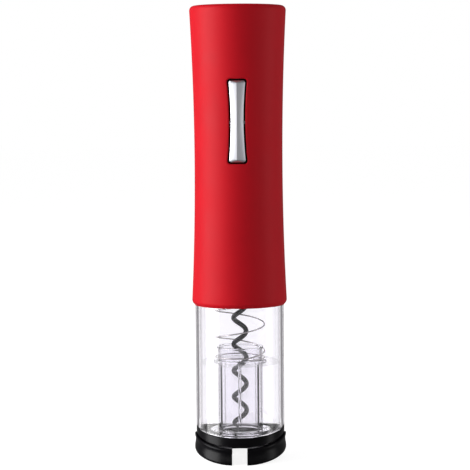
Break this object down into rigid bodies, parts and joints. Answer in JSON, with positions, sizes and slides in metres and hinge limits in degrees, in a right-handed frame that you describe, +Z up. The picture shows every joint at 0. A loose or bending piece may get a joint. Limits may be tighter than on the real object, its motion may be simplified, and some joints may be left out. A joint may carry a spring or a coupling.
{
  "type": "electric wine opener",
  "caption": "Upright cordless corkscrew with a waisted red grip, rocker switch, clear barrel over a screw, spring-loaded neck sleeve and clip-on foil cutter.",
  "frame": {"origin": "centre of the surface it stands on, under the barrel axis", "axes": "+Z up along the barrel axis; -Y is the front, with the rocker switch and the foil cutter gap; +X to the right seen from the front"},
  "size_m": [0.0538, 0.0538, 0.254],
  "materials": {
    "red_grip": "soft-touch satin",
    "grey_moulding": "moulded",
    "cell_sleeve": "printed film",
    "spring_steel": "bright",
    "plain_steel": "plain",
    "ferrite": "sintered",
    "armature": "wound",
    "black_moulding": "satin",
    "black_coated_steel": "non-stick coating",
    "bronze": "sintered",
    "natural_nylon": "moulded",
    "silver_paint": "satin metallic",
    "circuit_board": "solder mask",
    "clear_plastic": "polished clear",
    "blade_steel": "ground"
  },
  "bodies": {
    "housing": {"handle_shell": "red_grip", "battery_holder": "grey_moulding", "battery_1": "cell_sleeve", "battery_2": "cell_sleeve", "battery_3": "cell_sleeve", "battery_4": "cell_sleeve", "contact_spring_1": "spring_steel", "contact_spring_3": "spring_steel", "contact_link": "spring_steel", "terminal_plate_left": "spring_steel", "terminal_plate_right": "spring_steel", "frame_front": "grey_moulding", "frame_rear": "grey_moulding", "motor_can": "plain_steel", "motor_magnet_left": "ferrite", "motor_magnet_right": "ferrite", "motor_end_cap": "black_moulding", "motor_screw_left": "plain_steel", "motor_screw_right": "plain_steel", "ring_gear": "natural_nylon", "bulkhead": "black_moulding", "output_bush": "bronze", "rocker_tray": "black_moulding", "rocker_pin": "plain_steel", "switch_housing": "black_moulding", "switch_board": "circuit_board", "clear_tube": "clear_plastic", "bottom_collar": "black_moulding", "sleeve_spring": "spring_steel"},
    "cap": {"battery_cap": "red_grip", "cap_contact_left": "spring_steel", "cap_contact_right": "spring_steel", "contact_spring_2": "spring_steel", "contact_spring_4": "spring_steel"},
    "armature": {"motor_armature": "armature", "motor_pinion": "bronze"},
    "first_stage": {"first_carrier": "natural_nylon"},
    "output": {"output_carrier": "plain_steel", "corkscrew_hub": "black_moulding", "corkscrew": "black_coated_steel"},
    "rocker": {"rocker_button": "silver_paint"},
    "switch_contact": {"switch_slider": "natural_nylon"},
    "sleeve": {"neck_sleeve": "clear_plastic"},
    "foil_cutter": {"cutter_bridge": "black_moulding", "cutter_hinge_pin_left": "plain_steel", "cutter_hinge_pin_right": "plain_steel"},
    "arm_left": {"cutter_arm_left": "black_moulding"},
    "arm_right": {"cutter_arm_right": "black_moulding"},
    "first_planet_1": {"first_planet_1": "natural_nylon"},
    "second_planet_1": {"second_planet_1": "natural_nylon"},
    "first_planet_2": {"first_planet_2": "natural_nylon"},
    "second_planet_2": {"second_planet_2": "natural_nylon"},
    "first_planet_3": {"first_planet_3": "natural_nylon"},
    "second_planet_3": {"second_planet_3": "natural_nylon"},
    "wheel_left_front": {"cutter_wheel_left_front": "blade_steel"},
    "wheel_left_rear": {"cutter_wheel_left_rear": "blade_steel"},
    "wheel_right_front": {"cutter_wheel_right_front": "blade_steel"},
    "wheel_right_rear": {"cutter_wheel_right_rear": "blade_steel"}
  },
  "joints": [
    {"name": "cap_lift", "type": "slide", "parent": "housing", "child": "cap", "axis": [0, 0, 1], "range_m": [0, 0.06]},
    {"name": "motor_spin", "type": "hinge", "parent": "housing", "child": "armature", "pos_m": [0, 0, 0.14], "axis": [0, 0, 1], "continuous": true},
    {"name": "first_stage_spin", "type": "hinge", "parent": "housing", "child": "first_stage", "pos_m": [0, 0, 0.112], "axis": [0, 0, 1], "continuous": true},
    {"name": "corkscrew_spin", "type": "hinge", "parent": "housing", "child": "output", "pos_m": [0, 0, 0.06], "axis": [0, 0, 1], "continuous": true},
    {"name": "first_planet_1_spin", "type": "hinge", "parent": "first_stage", "child": "first_planet_1", "pos_m": [0.0108, 0, 0.117], "axis": [0, 0, 1], "continuous": true},
    {"name": "second_planet_1_spin", "type": "hinge", "parent": "output", "child": "second_planet_1", "pos_m": [0.0108, 0, 0.1065], "axis": [0, 0, 1], "continuous": true},
    {"name": "first_planet_2_spin", "type": "hinge", "parent": "first_stage", "child": "first_planet_2", "pos_m": [-0.0054, 0.00935, 0.117], "axis": [0, 0, 1], "continuous": true},
    {"name": "second_planet_2_spin", "type": "hinge", "parent": "output", "child": "second_planet_2", "pos_m": [-0.0054, 0.00935, 0.1065], "axis": [0, 0, 1], "continuous": true},
    {"name": "first_planet_3_spin", "type": "hinge", "parent": "first_stage", "child": "first_planet_3", "pos_m": [-0.0054, -0.00935, 0.117], "axis": [0, 0, 1], "continuous": true},
    {"name": "second_planet_3_spin", "type": "hinge", "parent": "output", "child": "second_planet_3", "pos_m": [-0.0054, -0.00935, 0.1065], "axis": [0, 0, 1], "continuous": true},
    {"name": "rocker_tilt", "type": "hinge", "parent": "housing", "child": "rocker", "pos_m": [0, -0.0221, 0.1894], "axis": [1, 0, 0], "range_deg": [-4, 4], "stiffness_Nm_per_rad": 0.4},
    {"name": "switch_slide", "type": "slide", "parent": "housing", "child": "switch_contact", "axis": [0, 0, 1], "range_m": [-0.0003, 0.0003]},
    {"name": "sleeve_slide", "type": "slide", "parent": "housing", "child": "sleeve", "axis": [0, 0, 1], "range_m": [0, 0.026], "stiffness_N_per_m": 100, "springref_m": -0.012, "deforming": ["sleeve_spring"]},
    {"name": "cutter_pull_off", "type": "slide", "parent": "housing", "child": "foil_cutter", "axis": [0, 0, -1], "range_m": [0, 0.05]},
    {"name": "arm_left_squeeze", "type": "hinge", "parent": "foil_cutter", "child": "arm_left", "pos_m": [-0.00752, 0.02067, 0.0072], "axis": [0, 0, 1], "range_deg": [0, 2], "stiffness_Nm_per_rad": 2},
    {"name": "arm_right_squeeze", "type": "hinge", "parent": "foil_cutter", "child": "arm_right", "pos_m": [0.00752, 0.02067, 0.0072], "axis": [0, 0, -1], "range_deg": [0, 2], "stiffness_Nm_per_rad": 2},
    {"name": "wheel_left_front_spin", "type": "hinge", "parent": "arm_left", "child": "wheel_left_front", "pos_m": [-0.01367, -0.01231, 0.0072], "axis": [0, 0, 1], "continuous": true},
    {"name": "wheel_left_rear_spin", "type": "hinge", "parent": "arm_left", "child": "wheel_left_rear", "pos_m": [-0.01729, 0.00629, 0.0072], "axis": [0, 0, 1], "continuous": true},
    {"name": "wheel_right_front_spin", "type": "hinge", "parent": "arm_right", "child": "wheel_right_front", "pos_m": [0.01367, -0.01231, 0.0072], "axis": [0, 0, 1], "continuous": true},
    {"name": "wheel_right_rear_spin", "type": "hinge", "parent": "arm_right", "child": "wheel_right_rear", "pos_m": [0.01729, 0.00629, 0.0072], "axis": [0, 0, 1], "continuous": true}
  ],
  "couplings": [
    {"joint": "first_stage_spin", "follows": "corkscrew_spin", "ratio": 6},
    {"joint": "motor_spin", "follows": "corkscrew_spin", "ratio": 36},
    {"joint": "first_planet_1_spin", "follows": "corkscrew_spin", "ratio": -15},
    {"joint": "first_planet_2_spin", "follows": "corkscrew_spin", "ratio": -15},
    {"joint": "first_planet_3_spin", "follows": "corkscrew_spin", "ratio": -15},
    {"joint": "second_planet_1_spin", "follows": "corkscrew_spin", "ratio": -2.5},
    {"joint": "second_planet_2_spin", "follows": "corkscrew_spin", "ratio": -2.5},
    {"joint": "second_planet_3_spin", "follows": "corkscrew_spin", "ratio": -2.5},
    {"joint": "switch_slide", "follows": "rocker_tilt", "m_per_rad": 0.00315},
    {"joint": "arm_right_squeeze", "follows": "arm_left_squeeze", "ratio": 1}
  ]
}
